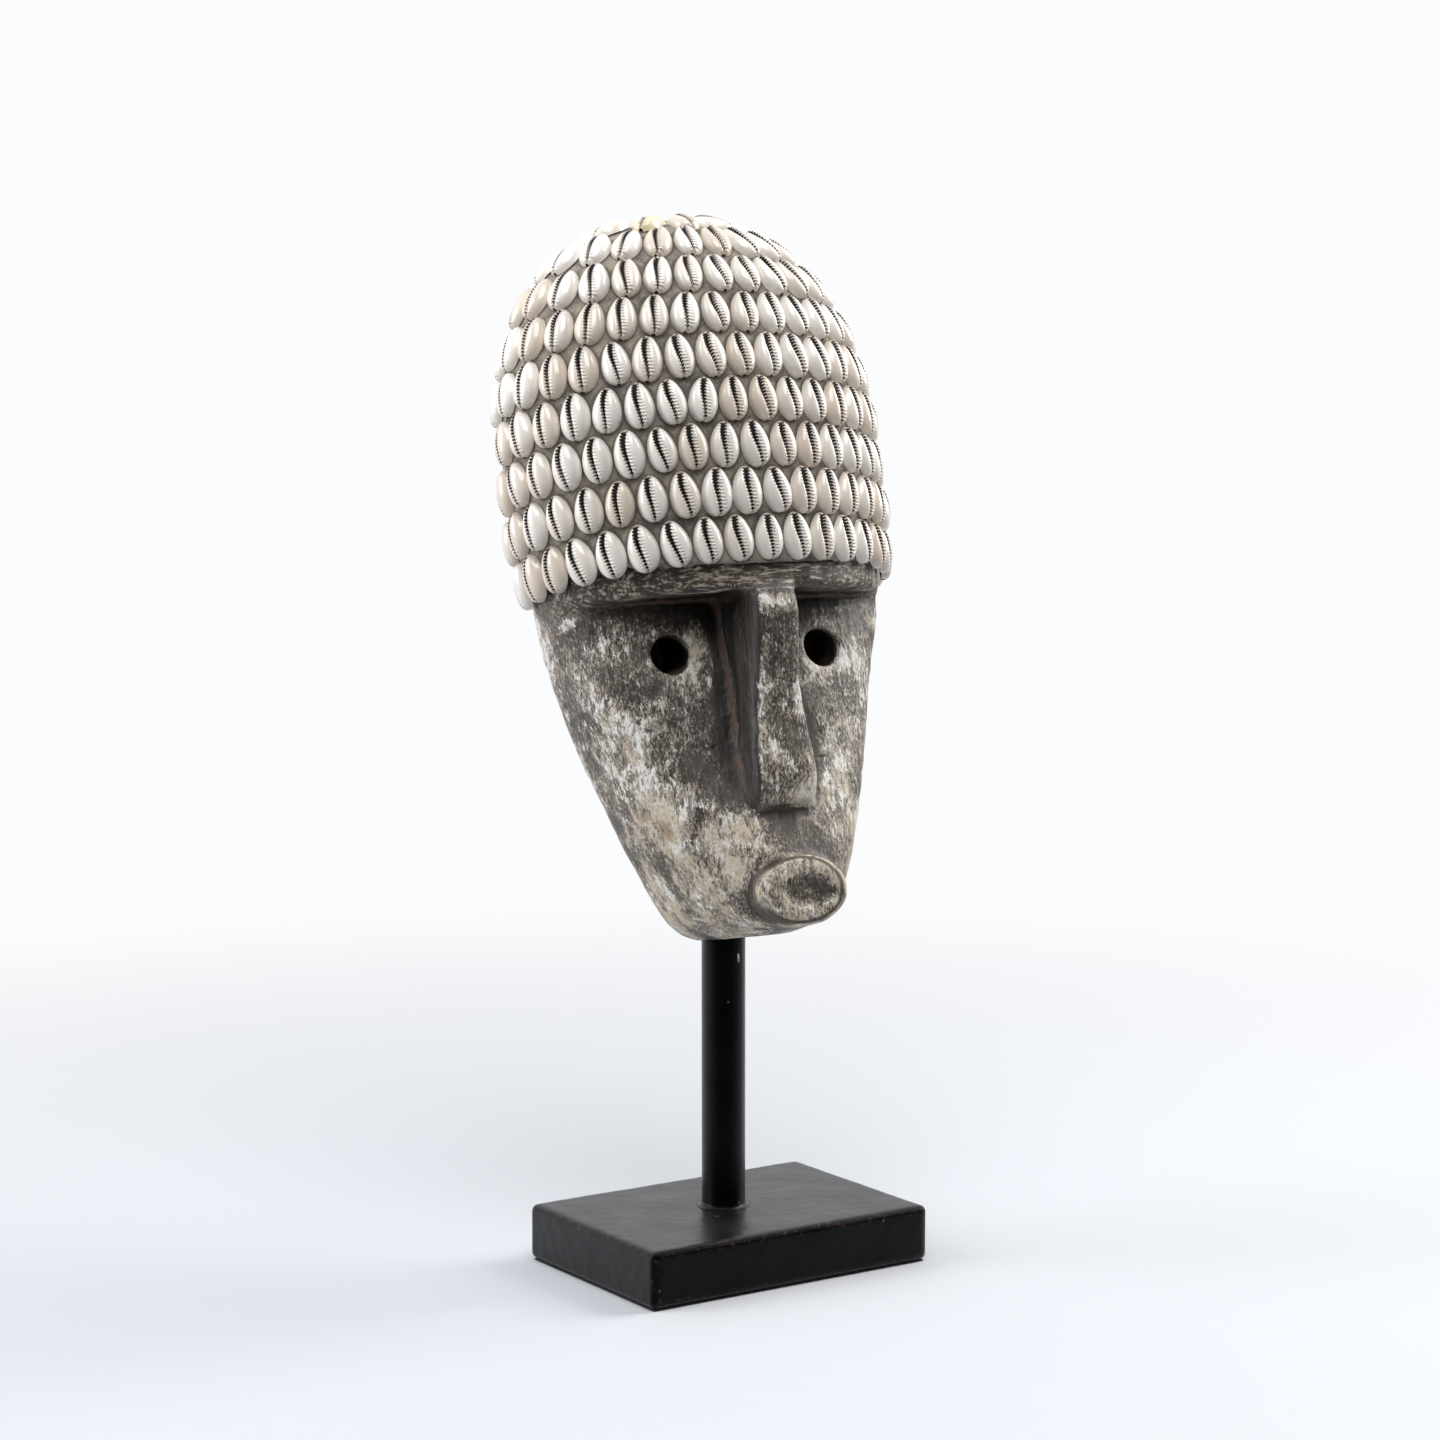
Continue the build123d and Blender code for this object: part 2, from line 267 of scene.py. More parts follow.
# %% Room
BACKDROP = (0.966, 0.973, 0.985)
ROOM_TINT = (0.955, 0.97, 1.0)
ROOM_BEHIND = 0.95
ROOM_FRONT = 0.08
world = bpy.data.worlds.new("studio")
scene.world = world
world.use_nodes = True
room = world.node_tree
room_light = room.nodes["Background"]
feed(room, room_light.inputs["Color"], ROOM_TINT)
direction = room.nodes.new("ShaderNodeTexCoord").outputs["Generated"]
depth = node(room, "ShaderNodeSeparateXYZ", Vector=direction).outputs["Y"]
feed(room, room_light.inputs["Strength"], between(room, depth, -0.5, 0.3, ROOM_FRONT, ROOM_BEHIND))
seen = node(room, "ShaderNodeBackground", Color=BACKDROP)
switch = room.nodes.new("ShaderNodeMixShader")
feed(room, switch.inputs[0], room.nodes.new("ShaderNodeLightPath").outputs["Is Camera Ray"])
feed(room, switch.inputs[1], room_light.outputs[0])
feed(room, switch.inputs[2], seen.outputs[0])
feed(room, room.nodes["World Output"].inputs["Surface"], switch.outputs[0])
scene.view_settings.view_transform = "Standard"
scene.view_settings.look = "None"
print("room from", ROOM_FRONT, "in front to", ROOM_BEHIND, "behind")

# %% [markdown]
# ## The floor
#
# The floor is one large pale face that catches the object's shadow. It grows clear with distance
# from the object, so that its far edge, where a horizon would be, is hardly seen.

# %% Floor
FLOOR_REACH = 12.0
FLOOR_TONE = (0.50, 0.513, 0.54)
FLOOR_FADE = (0.2, 1.05)


def plain_mesh(name, points, faces):
    """A new object from points and faces, at the origin."""
    mesh = bpy.data.meshes.new(name)
    mesh.from_pydata([tuple(p) for p in points], [], faces)
    mesh.update()
    made = bpy.data.objects.new(name, mesh)
    scene.collection.objects.link(made)
    return made


corners = [(x * FLOOR_REACH, y * FLOOR_REACH, 0) for x, y in ((-1, -1), (1, -1), (1, 1), (-1, 1))]
floor = plain_mesh("floor", corners, [(0, 1, 2, 3)])
paper, tree, shader = finish_tree("floor_paper")
feed(tree, shader.inputs["Base Color"], FLOOR_TONE)
shader.inputs["Roughness"].default_value = 0.9
away = node(tree, "ShaderNodeVectorMath", {"operation": "LENGTH"}, Vector=object_place(tree))
feed(tree, shader.inputs["Alpha"], between(tree, away.outputs["Value"], *FLOOR_FADE, 1.0, 0.0))
floor.data.materials.append(paper)

# %% [markdown]
# ## Effects kept as node groups
#
# Three effects are node groups with named inputs, so that a finish can place them at any size.
# *Flakes* are crisp islands of old wash. One noise is cut at a level that the amount moves, so
# islands grow and join as it rises. Its softer second output is the islands' thickness.

# %% Flakes group
FLOAT = "NodeSocketFloat"
VECTOR = "NodeSocketVector"
flakes_group, ins, outs = new_group(
    "flakes",
    [("Place", VECTOR, None), ("Size", FLOAT, 5.0), ("Amount", FLOAT, 0.5), ("Seed", FLOAT, 0.0)],
    [("Mask", FLOAT), ("Height", FLOAT)],
)
scale = maths(flakes_group, "DIVIDE", 1000.0, ins["Size"])
torn = node(flakes_group, "ShaderNodeTexNoise", {"noise_dimensions": "4D"}, Vector=ins["Place"],
            W=ins["Seed"], Scale=scale, Detail=9.0, Roughness=0.78, Distortion=0.35).outputs["Fac"]
edge = minus(flakes_group, 0.78, times(flakes_group, ins["Amount"], 0.5))
soft_edge = plus(flakes_group, edge, 0.022)
feed(flakes_group, outs["Mask"], between(flakes_group, torn, edge, soft_edge))
feed(flakes_group, outs["Height"], between(flakes_group, torn, edge, plus(flakes_group, edge, 0.12)))

# %% [markdown]
# ### Worn edges
#
# Lacquer rubs off where hands and tables touch: along edges. The mesh marks its edges, and the
# group breaks that mark up with noise into a ragged, interrupted line.

# %% Worn edge group
worn_group, ins, outs = new_group(
    "worn_edge",
    [("Place", VECTOR, None), ("Edge", FLOAT, 0.0), ("Size", FLOAT, 3.0), ("Amount", FLOAT, 0.5)],
    [("Mask", FLOAT)],
)
scale = maths(worn_group, "DIVIDE", 1000.0, ins["Size"])
ragged = node(worn_group, "ShaderNodeTexNoise", Vector=ins["Place"], Scale=scale, Detail=6.0,
              Roughness=0.65).outputs["Fac"]
worn = times(worn_group, ins["Edge"], plus(worn_group, ragged, ins["Amount"]))
feed(worn_group, outs["Mask"], between(worn_group, worn, 0.62, 0.78))

# %% [markdown]
# ### Dust and specks
#
# Fine dots, scattered without a pattern. Each cell of a Voronoi texture has a random colour, and
# only the cells whose random value is small enough show their dot.

# %% Dust group
dust_group, ins, outs = new_group(
    "dust",
    [("Place", VECTOR, None), ("Size", FLOAT, 2.0), ("Amount", FLOAT, 0.3)],
    [("Mask", FLOAT)],
)
scale = maths(dust_group, "DIVIDE", 1000.0, ins["Size"])
specks = node(dust_group, "ShaderNodeTexVoronoi", Vector=ins["Place"], Scale=scale)
near = maths(dust_group, "LESS_THAN", specks.outputs["Distance"], 0.16)
chosen_tone = node(dust_group, "ShaderNodeSeparateColor", Color=specks.outputs["Color"]).outputs["Red"]
chosen = maths(dust_group, "LESS_THAN", chosen_tone, ins["Amount"])
feed(dust_group, outs["Mask"], times(dust_group, near, chosen))
print("groups:", [g.name for g in bpy.data.node_groups])

# %% [markdown]
# ## Reading a surface
#
# Wash collects in hollows and rubs off on ridges, and the hollows are also darkened with painted
# shade. To paint like that, the mesh must know where it is hollow. Each point is compared with a
# smoothed copy of the surface: if it stands proud of the smooth copy it is a ridge, and if it lies
# behind it is a hollow. The result is stored on the points, where a material can read it.

# %% Point arrays and hollows
def points_of(mesh):
    """The points of a mesh as an array."""
    flat = np.empty(len(mesh.vertices) * 3, np.float64)
    mesh.vertices.foreach_get("co", flat)
    return flat.reshape(-1, 3)


def set_points(mesh, points):
    """Write points back to a mesh."""
    mesh.vertices.foreach_set("co", points.astype(np.float32).ravel())
    mesh.update()


def normals_of(mesh):
    """The point normals of a mesh as an array."""
    flat = np.empty(len(mesh.vertices) * 3, np.float32)
    mesh.vertices.foreach_get("normal", flat)
    return flat.reshape(-1, 3).astype(np.float64)


def smoothed(mesh, points, rounds):
    """The points after some rounds of moving each to the middle of its neighbours."""
    pairs = np.empty(len(mesh.edges) * 2, np.int64)
    mesh.edges.foreach_get("vertices", pairs)
    a, b = pairs.reshape(-1, 2).T
    count = np.bincount(a, minlength=len(points)) + np.bincount(b, minlength=len(points))
    for _ in range(rounds):
        total = np.zeros_like(points)
        for axis in range(3):
            total[:, axis] = np.bincount(a, points[b, axis], len(points)) + np.bincount(
                b, points[a, axis], len(points))
        points = total / np.maximum(count, 1)[:, None]
    return points


def store(mesh, name, values):
    """Store one value for each point."""
    layer = mesh.attributes.new(name, "FLOAT", "POINT")
    layer.data.foreach_set("value", np.asarray(values, np.float32))


def merged_copy(node_name, piece_name):
    """A copy of a CAD node with its loose triangles joined."""
    mesh = nodes[node_name].data.copy()
    mesh.materials.clear()
    work = bmesh.new()
    work.from_mesh(mesh)
    bmesh.ops.remove_doubles(work, verts=work.verts, dist=0.002 * MM)
    work.to_mesh(mesh)
    work.free()
    piece = bpy.data.objects.new(piece_name, mesh)
    scene.collection.objects.link(piece)
    return piece


def apply_modifiers(piece):
    """Turn a piece with modifiers into a plain mesh."""
    depsgraph = bpy.context.evaluated_depsgraph_get()
    mesh = bpy.data.meshes.new_from_object(piece.evaluated_get(depsgraph))
    piece.modifiers.clear()
    piece.data = mesh
    return piece


def remeshed(piece, voxel_mm):
    """The same shape with even, small faces."""
    even = piece.modifiers.new("even", "REMESH")
    even.mode = "VOXEL"
    even.voxel_size = voxel_mm * MM
    return apply_modifiers(piece)


# %% [markdown]
# ## The head's own frame
#
# The mask leans back and is turned a little on its pole. Strokes and streaks follow the face, so
# the script needs the face's own directions. The sawn rim of the back lies square to the face, so
# the widest flat that looks backwards gives them.

# %% Face directions from the flat back
def face_directions(mesh):
    """Unit vectors of the face: across to its right edge, up its height, and out to the viewer."""
    normals = np.empty(len(mesh.polygons) * 3)
    areas = np.empty(len(mesh.polygons))
    mesh.polygons.foreach_get("normal", normals)
    mesh.polygons.foreach_get("area", areas)
    normals = normals.reshape(-1, 3)
    rear = normals[:, 1] > 0.9
    kinds, which = np.unique(np.round(normals[rear], 3), axis=0, return_inverse=True)
    out = -Vector(kinds[np.bincount(which.ravel(), areas[rear]).argmax()]).normalized()
    across = Vector((0, 0, 1)).cross(out).normalized()
    return across, out.cross(across), out


ACROSS, UP, OUT = (np.array(v) for v in face_directions(nodes["mask_body"].data))
mask_points = points_of(nodes["mask_body"].data)
across_span = mask_points @ ACROSS
FACE_ORIGIN = np.array([
    (across_span.max() + across_span.min()) / 2,
    (mask_points @ UP).min(),
    (mask_points @ OUT).min(),
])
print("face up", np.round(UP, 3), "out", np.round(OUT, 3))


def face_place(points):
    """Points as millimetres across, up and out of the face."""
    return (points @ np.stack([ACROSS, UP, OUT], axis=1) - FACE_ORIGIN) / MM


# %% [markdown]
# ## The carved wood
#
# The mask is one block of wood, cut with an adze and a knife and then rubbed down. A voxel remesh
# gives it small even faces, so its edges can be eased and its surface cut. Three kinds of mark are
# pressed into it: shallow facets left by the blade, grain that runs up the face, and small chips.
# The hollow back is rougher, because nobody rubs it down.

# %% Carve the wood
def noise_at(places, size_mm, seed):
    """Smooth noise between -1 and 1 at places in millimetres."""
    shift = Vector((seed * 17.3, seed * 5.1, seed * 9.7))  # far enough apart to look unrelated
    return np.array([noise.noise(Vector(p) / size_mm + shift) for p in places])


def scallops(places, size_mm, seed):
    """The height of overlapping shallow cuts: 0 in the middle of a cut, 1 where cuts meet."""
    shift = Vector((seed * 3.7, seed * 11.9, seed * 7.3))
    nearest = np.array([noise.voronoi(Vector(p) / size_mm + shift)[0][:2] for p in places])
    return np.clip(nearest[:, 0] / np.maximum(nearest[:, 1], 1e-6), 0, 1) ** 2


# depths and sizes in millimetres
WOOD_VOXEL = 1.55
FACET = 0.34
GOUGE = 1.1
GRAIN = 0.14
CHIP = 0.55
# heights up the face, and how far out of it, in millimetres
FACE_MIDDLE = 190.0
MOUTH_TOP = 42.0
MOUTH_DEPTH = 78.0
MOUTH_MIDDLE = 18.0
MOUTH_HALF_WIDTH = 21.5
MOUTH_HALF_HEIGHT = 15.8
DISH_FILL = 1.7
wood = remeshed(merged_copy("mask_body", "carved_mask"), WOOD_VOXEL)
flat_points = points_of(wood.data)
eased = smoothed(wood.data, flat_points, 3)
places = face_place(eased)
on_mouth = np.clip((MOUTH_TOP - places[:, 1]) / 4, 0, 1)
on_mouth *= np.clip((places[:, 2] - MOUTH_DEPTH) / 4, 0, 1)
eased += (smoothed(wood.data, eased, 12) - eased) * (0.6 * on_mouth)[:, None]
set_points(wood.data, eased)
points, normals = points_of(wood.data), normals_of(wood.data)
mouth_up = (places[:, 1] - MOUTH_MIDDLE) / MOUTH_HALF_HEIGHT
mouth_ring = np.hypot(places[:, 0] / MOUTH_HALF_WIDTH, mouth_up)
points += OUT * (DISH_FILL * MM * on_mouth * np.exp(-(mouth_ring / 0.45) ** 2))[:, None]
places = face_place(points)
facing = normals @ OUT
to_axis = np.stack([-places[:, 0], FACE_MIDDLE - places[:, 1]], axis=1)
to_axis /= np.linalg.norm(to_axis, axis=1)[:, None]
inward = normals @ ACROSS * to_axis[:, 0] + normals @ UP * to_axis[:, 1]
inside = np.clip(np.maximum(inward - 0.2, -0.45 - facing) / 0.2, 0, 1)
inside *= (places[:, 2] > 1.0) * (facing < 0.1)
facets = scallops(places * (1, 0.55, 1), 11.0, 1)
gouges = scallops(places * (1, 0.4, 1), 13.0, 2)
grain = noise_at(places * (1, 0.08, 1), 1.6, 3)
dents = noise_at(places, 4.2, 4) + 0.5 * noise_at(places, 2.0, 5)
chips = np.clip(dents - 0.62, 0, 0.5) * 2
push = (1 - inside) * (FACET * (facets - 0.5) - CHIP * chips) + inside * GOUGE * (gouges - 0.6)
push += GRAIN * grain
carved = points + normals * (push * MM)[:, None]
set_points(wood.data, carved)
print("wood", len(wood.data.polygons) * 2, "triangles; push", np.round([push.min(), push.max()], 2))

# %% [markdown]
# ### Marks for the finish
#
# Now the carved surface is read. A few rounds of smoothing find sharp creases, and many rounds
# find the broad hollows beside the nose and under the brow. The face's own coordinates, and how
# far each point looks out of the face or sideways, are stored too.

# %% Mark hollows and ridges of the wood
CREASE_ROUNDS = 8
VALLEY_ROUNDS = 160


def mark_relief(piece, rounds, name):
    """Store how far each point lies behind the smoothed surface, in millimetres."""
    points, normals = points_of(piece.data), normals_of(piece.data)
    behind = ((smoothed(piece.data, points, rounds) - points) * normals).sum(axis=1) / MM
    store(piece.data, name, behind)
    return behind


crease = mark_relief(wood, CREASE_ROUNDS, "crease")
valley = mark_relief(wood, VALLEY_ROUNDS, "valley")
face = wood.data.attributes.new("face", "FLOAT_VECTOR", "POINT")
face.data.foreach_set("vector", face_place(carved).astype(np.float32).ravel())
store(wood.data, "inside", inside)
normals = normals_of(wood.data)
store(wood.data, "sideways", normals @ ACROSS)
store(wood.data, "outward", normals @ OUT)
print("crease", np.round(np.percentile(crease, [1, 50, 99]), 2))
print("valley", np.round(np.percentile(valley, [1, 50, 99]), 2))

# %% [markdown]
# ### The limewash
#
# The wood was stained nearly black, then limewash was dabbed on and most of it rubbed off again.
# What is left sits in clusters of crisp little flakes, white to cream to ochre, with a thin grey
# veil around them. Recesses, deep pits and the nose's left flank are darkened with painted shade,
# and the sharp creases were wiped down to red-brown wood. A thin dark line rings the mouth. The
# brow is stroked across; the rest is stroked upwards, leaning a little.

# %% Limewashed wood
STAIN_DARK = (0.026, 0.020, 0.017)
STAIN_LIGHT = (0.070, 0.055, 0.046)
RED_WOOD = (0.105, 0.054, 0.030)
VEIL = (0.26, 0.225, 0.185)
WASH_WHITE = (0.82, 0.80, 0.765)
WASH_CREAM = (0.62, 0.53, 0.41)
WASH_OCHRE = (0.38, 0.27, 0.16)
RAW_WOOD = (0.105, 0.066, 0.040)
SPECK = (0.40, 0.345, 0.275)
DEEP_SHADE = (0.006, 0.005, 0.004)
MOUTH_LINE = (0.022, 0.015, 0.011)
BROW_LEVEL = 147.0
STROKE_LEAN = math.radians(24)
# where each effect starts and is complete, in millimetres
RECESS_DEPTH = (0.5, 2.6)
PIT_DEPTH = (1.8, 3.4)
CREASE_DEPTH = (0.44, 0.64)
NOSE_OUT = (64, 68)
NOSE_LOW = (50, 56)


def limewashed_wood():
    """Dark stained wood with clusters of limewash flakes."""
    material, tree, shader = finish_tree("limewashed_wood_finish")
    face = tree.nodes.new("ShaderNodeAttribute")
    face.attribute_name = "face"
    metres = node(tree, "ShaderNodeVectorMath", {"operation": "SCALE"}, Vector=face.outputs["Vector"],
                  Scale=MM).outputs["Vector"]
    parts = node(tree, "ShaderNodeSeparateXYZ", Vector=face.outputs["Vector"]).outputs
    height = parts["Y"]
    crease = attribute(tree, "crease")
    valley = attribute(tree, "valley")
    outward = attribute(tree, "outward")
    sideways = attribute(tree, "sideways")
    inside = attribute(tree, "inside")

    # 1 at the rim of the mouth's oval, less inside it
    mouth_x = maths(tree, "DIVIDE", parts["X"], MOUTH_HALF_WIDTH)
    mouth_y = maths(tree, "DIVIDE", minus(tree, height, MOUTH_MIDDLE), MOUTH_HALF_HEIGHT)
    oval = node(tree, "ShaderNodeCombineXYZ", X=mouth_x, Y=mouth_y).outputs[0]
    oval = node(tree, "ShaderNodeVectorMath", {"operation": "LENGTH"}, Vector=oval)
    mouth_ring = oval.outputs["Value"]
    on_knob = times(tree, between(tree, mouth_ring, 1.1, 1.0),
                    between(tree, parts["Z"], MOUTH_DEPTH - 8, MOUTH_DEPTH - 4))
    # the nose's left flank, which is darkened further down as painted shade
    nose_flank_shade = times(tree, between(tree, sideways, -0.35, -0.75), between(tree, parts["Z"], *NOSE_OUT))
    nose_flank_shade = times(tree, nose_flank_shade, between(tree, height, *NOSE_LOW))

    # the stain: dark, a little lighter along the grain
    grain_place = stretched(tree, metres, (1.0, 0.10, 1.0))
    grain = blotches(tree, grain_place, 1.2, 4.0, 0.6)
    cloud = blotches(tree, metres, 24, 3.0, 0.55, 0.4, 1.0)
    uneven = plus(tree, times(tree, grain, 0.5), cloud)
    stain = mixed(tree, between(tree, uneven, 0.62, 0.98), STAIN_DARK, STAIN_LIGHT)

    # how much wash is left: clusters, less in recesses and on the brow, more on proud parts
    cluster = blotches(tree, metres, 26, 4.0, 0.6, 0.6, 2.0)
    slanted = node(tree, "ShaderNodeMapping", Vector=metres)
    slanted.inputs["Rotation"].default_value = (0, 0, STROKE_LEAN)
    slanted.inputs["Scale"].default_value = (1.0, 0.42, 1.0)
    cover = times(tree, minus(tree, cluster, 0.5), 2.1)
    # hollows thin the wash, and with the nose's left flank they are darkened below as painted shade
    recess_shade = between(tree, valley, *RECESS_DEPTH)
    recess_shade = times(tree, recess_shade, minus(tree, 1.0, times(tree, on_knob, 0.7)))
    flank_grain = minus(tree, 1.9, times(tree, grain, 2.3), True)
    recess_shade = maths(tree, "MAXIMUM", recess_shade, times(tree, nose_flank_shade, flank_grain))
    # the deepest pits, such as the eye holes, are darkened below as painted shade
    pit_shade = between(tree, valley, *PIT_DEPTH)
    pit_shade = times(tree, pit_shade, minus(tree, 1.0, on_knob))
    brow_line = between(tree, height, BROW_LEVEL - 1, BROW_LEVEL + 4)
    brow_line = times(tree, brow_line, between(tree, outward, -0.1, 0.3))
    loss = plus(tree, times(tree, recess_shade, 1.1), times(tree, inside, 0.9))
    loss = plus(tree, loss, times(tree, brow_line, 0.42))
    gain = times(tree, between(tree, valley, -0.4, -2.4), 0.16)
    gain = times(tree, gain, minus(tree, 1.0, brow_line))
    loss = minus(tree, loss, gain)
    low_face = between(tree, height, 95, 20)
    cover = plus(tree, cover, times(tree, low_face, 0.05))
    cover = minus(tree, cover, loss)
    cover = plus(tree, cover, times(tree, between(tree, crease, 0.0, -0.16), 0.12))

    # the flakes themselves, coarse and fine
    amount = plus(tree, 0.32, times(tree, cover, 0.56))
    coarse = placed_group(tree, flakes_group, Place=slanted.outputs["Vector"], Size=3.6, Amount=amount)
    fine_amount = plus(tree, 0.372, times(tree, cover, 0.42))
    fine = placed_group(tree, flakes_group, Place=slanted.outputs["Vector"], Size=1.5,
                        Amount=fine_amount, Seed=4.0)
    wash = maths(tree, "MAXIMUM", coarse["Mask"], fine["Mask"])

    # the thin veil around the flakes, and the strokes across the brow
    streak = blotches(tree, slanted.outputs["Vector"], 2.4, 6.0, 0.75, 0.0, 6.0)
    across_place = stretched(tree, metres, (0.10, 1.0, 1.0))
    brow_streak = between(tree, blotches(tree, across_place, 1.5, 5.0, 0.7, 0.2, 7.0), 0.50, 0.60)
    veil_amount = between(tree, plus(tree, streak, times(tree, cover, 0.10)), 0.46, 0.66)
    veil_amount = times(tree, veil_amount, minus(tree, 0.9, recess_shade, True))
    colour = mixed(tree, times(tree, veil_amount, 0.44), stain, VEIL)
    colour = mixed(tree, times(tree, times(tree, brow_streak, brow_line), 0.6), colour, WASH_CREAM)

    # tiny crumbs of wash between the flakes
    bits = placed_group(tree, flakes_group, Place=slanted.outputs["Vector"], Size=0.95,
                        Amount=plus(tree, fine_amount, 0.10), Seed=8.0)
    bit_amount = times(tree, bits["Mask"], minus(tree, 0.8, recess_shade, True))
    colour = mixed(tree, bit_amount, colour, SPECK)

    # flakes run from white to cream, with ochre stains and dirt
    tone = blotches(tree, metres, 9, 4.0, 0.65, 0.0, 9.0)
    tone = plus(tree, tone, times(tree, low_face, 0.13))
    warm = mixed(tree, between(tree, tone, 0.48, 0.64), WASH_WHITE, WASH_CREAM)
    ochre = between(tree, blotches(tree, metres, 15, 4.0, 0.6, 0.0, 11.0), 0.60, 0.74)
    warm = mixed(tree, ochre, warm, WASH_OCHRE)
    dirty = between(tree, blotches(tree, metres, 1.1, 3.0, 0.6, 0.0, 12.0), 0.30, 0.52)
    flake_colour = mixed(tree, dirty, mixed(tree, 0.42, warm, STAIN_LIGHT), warm)
    colour = mixed(tree, wash, colour, flake_colour)

    # recesses, deep pits and the nose's left flank get painted shade, creases are rubbed to red wood,
    # and the hollow back stays raw
    shade = plus(tree, times(tree, recess_shade, 0.5), times(tree, pit_shade, 0.5), True)
    colour = mixed(tree, shade, colour, DEEP_SHADE)
    rubbed = between(tree, crease, *CREASE_DEPTH)
    rubbed = times(tree, rubbed, between(tree, outward, -0.2, 0.3))
    rubbed = times(tree, rubbed, between(tree, streak, 0.34, 0.52))
    on_mouth = between(tree, height, MOUTH_TOP + 8, MOUTH_TOP)
    line_colour = mixed(tree, on_mouth, RED_WOOD, STAIN_DARK)
    colour = mixed(tree, times(tree, rubbed, 0.62), colour, line_colour)
    wobble = plus(tree, mouth_ring, times(tree, cloud, 0.12))
    outline = times(tree, between(tree, wobble, 0.90, 0.95), between(tree, wobble, 1.05, 0.99))
    outline = times(tree, outline, on_knob)
    colour = mixed(tree, times(tree, outline, 0.85), colour, MOUTH_LINE)
    raw = mixed(tree, between(tree, grain, 0.40, 0.62), RAW_WOOD, STAIN_LIGHT)
    raw = mixed(tree, between(tree, cloud, 0.40, 0.62), raw, STAIN_LIGHT)
    colour = mixed(tree, times(tree, inside, 0.9), colour, raw)
    feed(tree, shader.inputs["Base Color"], colour)
    rough = plus(tree, 0.50, times(tree, wash, 0.30))
    feed(tree, shader.inputs["Roughness"], rough)
    shader.inputs["Specular IOR Level"].default_value = 0.42

    relief = plus(tree, times(tree, coarse["Height"], 0.6), times(tree, fine["Height"], 0.35))
    relief = plus(tree, relief, times(tree, grain, 0.5))
    feed(tree, shader.inputs["Normal"], bumped(tree, relief, 0.28, 0.9))
    return material


wood.data.materials.append(limewashed_wood())
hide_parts("mask_body")
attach(wood, "mask")

# %% [markdown]
# ## Where the shells sit
#
# The frame holds each row of shells as one part. Each shell in it is an island of triangles that
# touches no other. An island's long axis is the way the shell points and its thinnest axis is the
# way it faces, so the seat of every shell is read from the frame and not typed in.

# %% Seats of the shells
def islands(mesh):
    """The point numbers of each connected island of a mesh."""
    parent = np.arange(len(mesh.vertices))
    pairs = np.empty(len(mesh.edges) * 2, np.int64)
    mesh.edges.foreach_get("vertices", pairs)
    a, b = pairs.reshape(-1, 2).T
    while True:
        low = np.minimum(parent[a], parent[b])
        before = parent.copy()
        np.minimum.at(parent, a, low)
        np.minimum.at(parent, b, low)
        parent = parent[parent]
        if (parent == before).all():
            break
    return [np.flatnonzero(parent == label) for label in np.unique(parent)]


def seat(points, head_middle, crown):
    """Place, rotation and length of one shell from its points."""
    middle = (points.max(axis=0) + points.min(axis=0)) / 2
    _, _, axes = np.linalg.svd(points - points.mean(axis=0), full_matrices=False)
    length, facing = axes[0], axes[2]
    if facing @ (middle - head_middle) < 0:
        facing = -facing
    aim = np.array([0.0, 1.0, 0.0]) if crown else UP
    if length @ aim < 0:
        length = -length
    side = np.cross(length, facing)
    flat = (points - middle) @ np.stack([side, length, facing], axis=1)
    base = middle + facing * flat[:, 2].min()
    base += side * (flat[:, 0].max() + flat[:, 0].min()) / 2
    base += length * (flat[:, 1].max() + flat[:, 1].min()) / 2
    turn = Matrix(np.stack([side, length, facing], axis=1)).to_euler()
    return base, turn, np.ptp(flat, axis=0)


cap_low, cap_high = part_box("cap_bedding")
head_middle = np.array((cap_low + cap_high) / 2)
head_middle[2] = cap_low[2]
seats = {}
for name in shell_nodes:
    joined = merged_copy(name, "seats_" + name)
    all_points = points_of(joined.data)
    crown = name == "shell_crown"
    seats[name] = [seat(all_points[group], head_middle, crown) for group in islands(joined.data)]
    mesh = joined.data
    bpy.data.objects.remove(joined)
    bpy.data.meshes.remove(mesh)
spans = [span for row in seats.values() for _, _, span in row]
SHELL_WIDTH, SHELL_LENGTH, SHELL_HEIGHT = np.median(spans, axis=0) / MM
print("shells", {name: len(row) for name, row in seats.items()})
print("shell", np.round([SHELL_WIDTH, SHELL_LENGTH, SHELL_HEIGHT], 2), "mm wide, long, high")

# %% [markdown]
# ## One cowrie shell
#
# A cowrie lies here with its mouth outwards. It is an egg, narrower at the top, whose two lips
# roll in to a long slot. The slot is off the middle, bends a little, and is widest near the top.
# The mesh is a grid whose columns follow the slot, so the lips are round and the slot is really
# deep. Each point remembers its distance along the shell and from the slot, in millimetres. The
# material draws the fine teeth from those two numbers, so the mesh can stay light.

# %% Build a cowrie
ROWS = 17
LEFT_STEPS = (0.0, 0.10, 0.30, 0.58, 0.84)
RIGHT_STEPS = (0.84, 0.62, 0.38, 0.18, 0.06, 0.0)


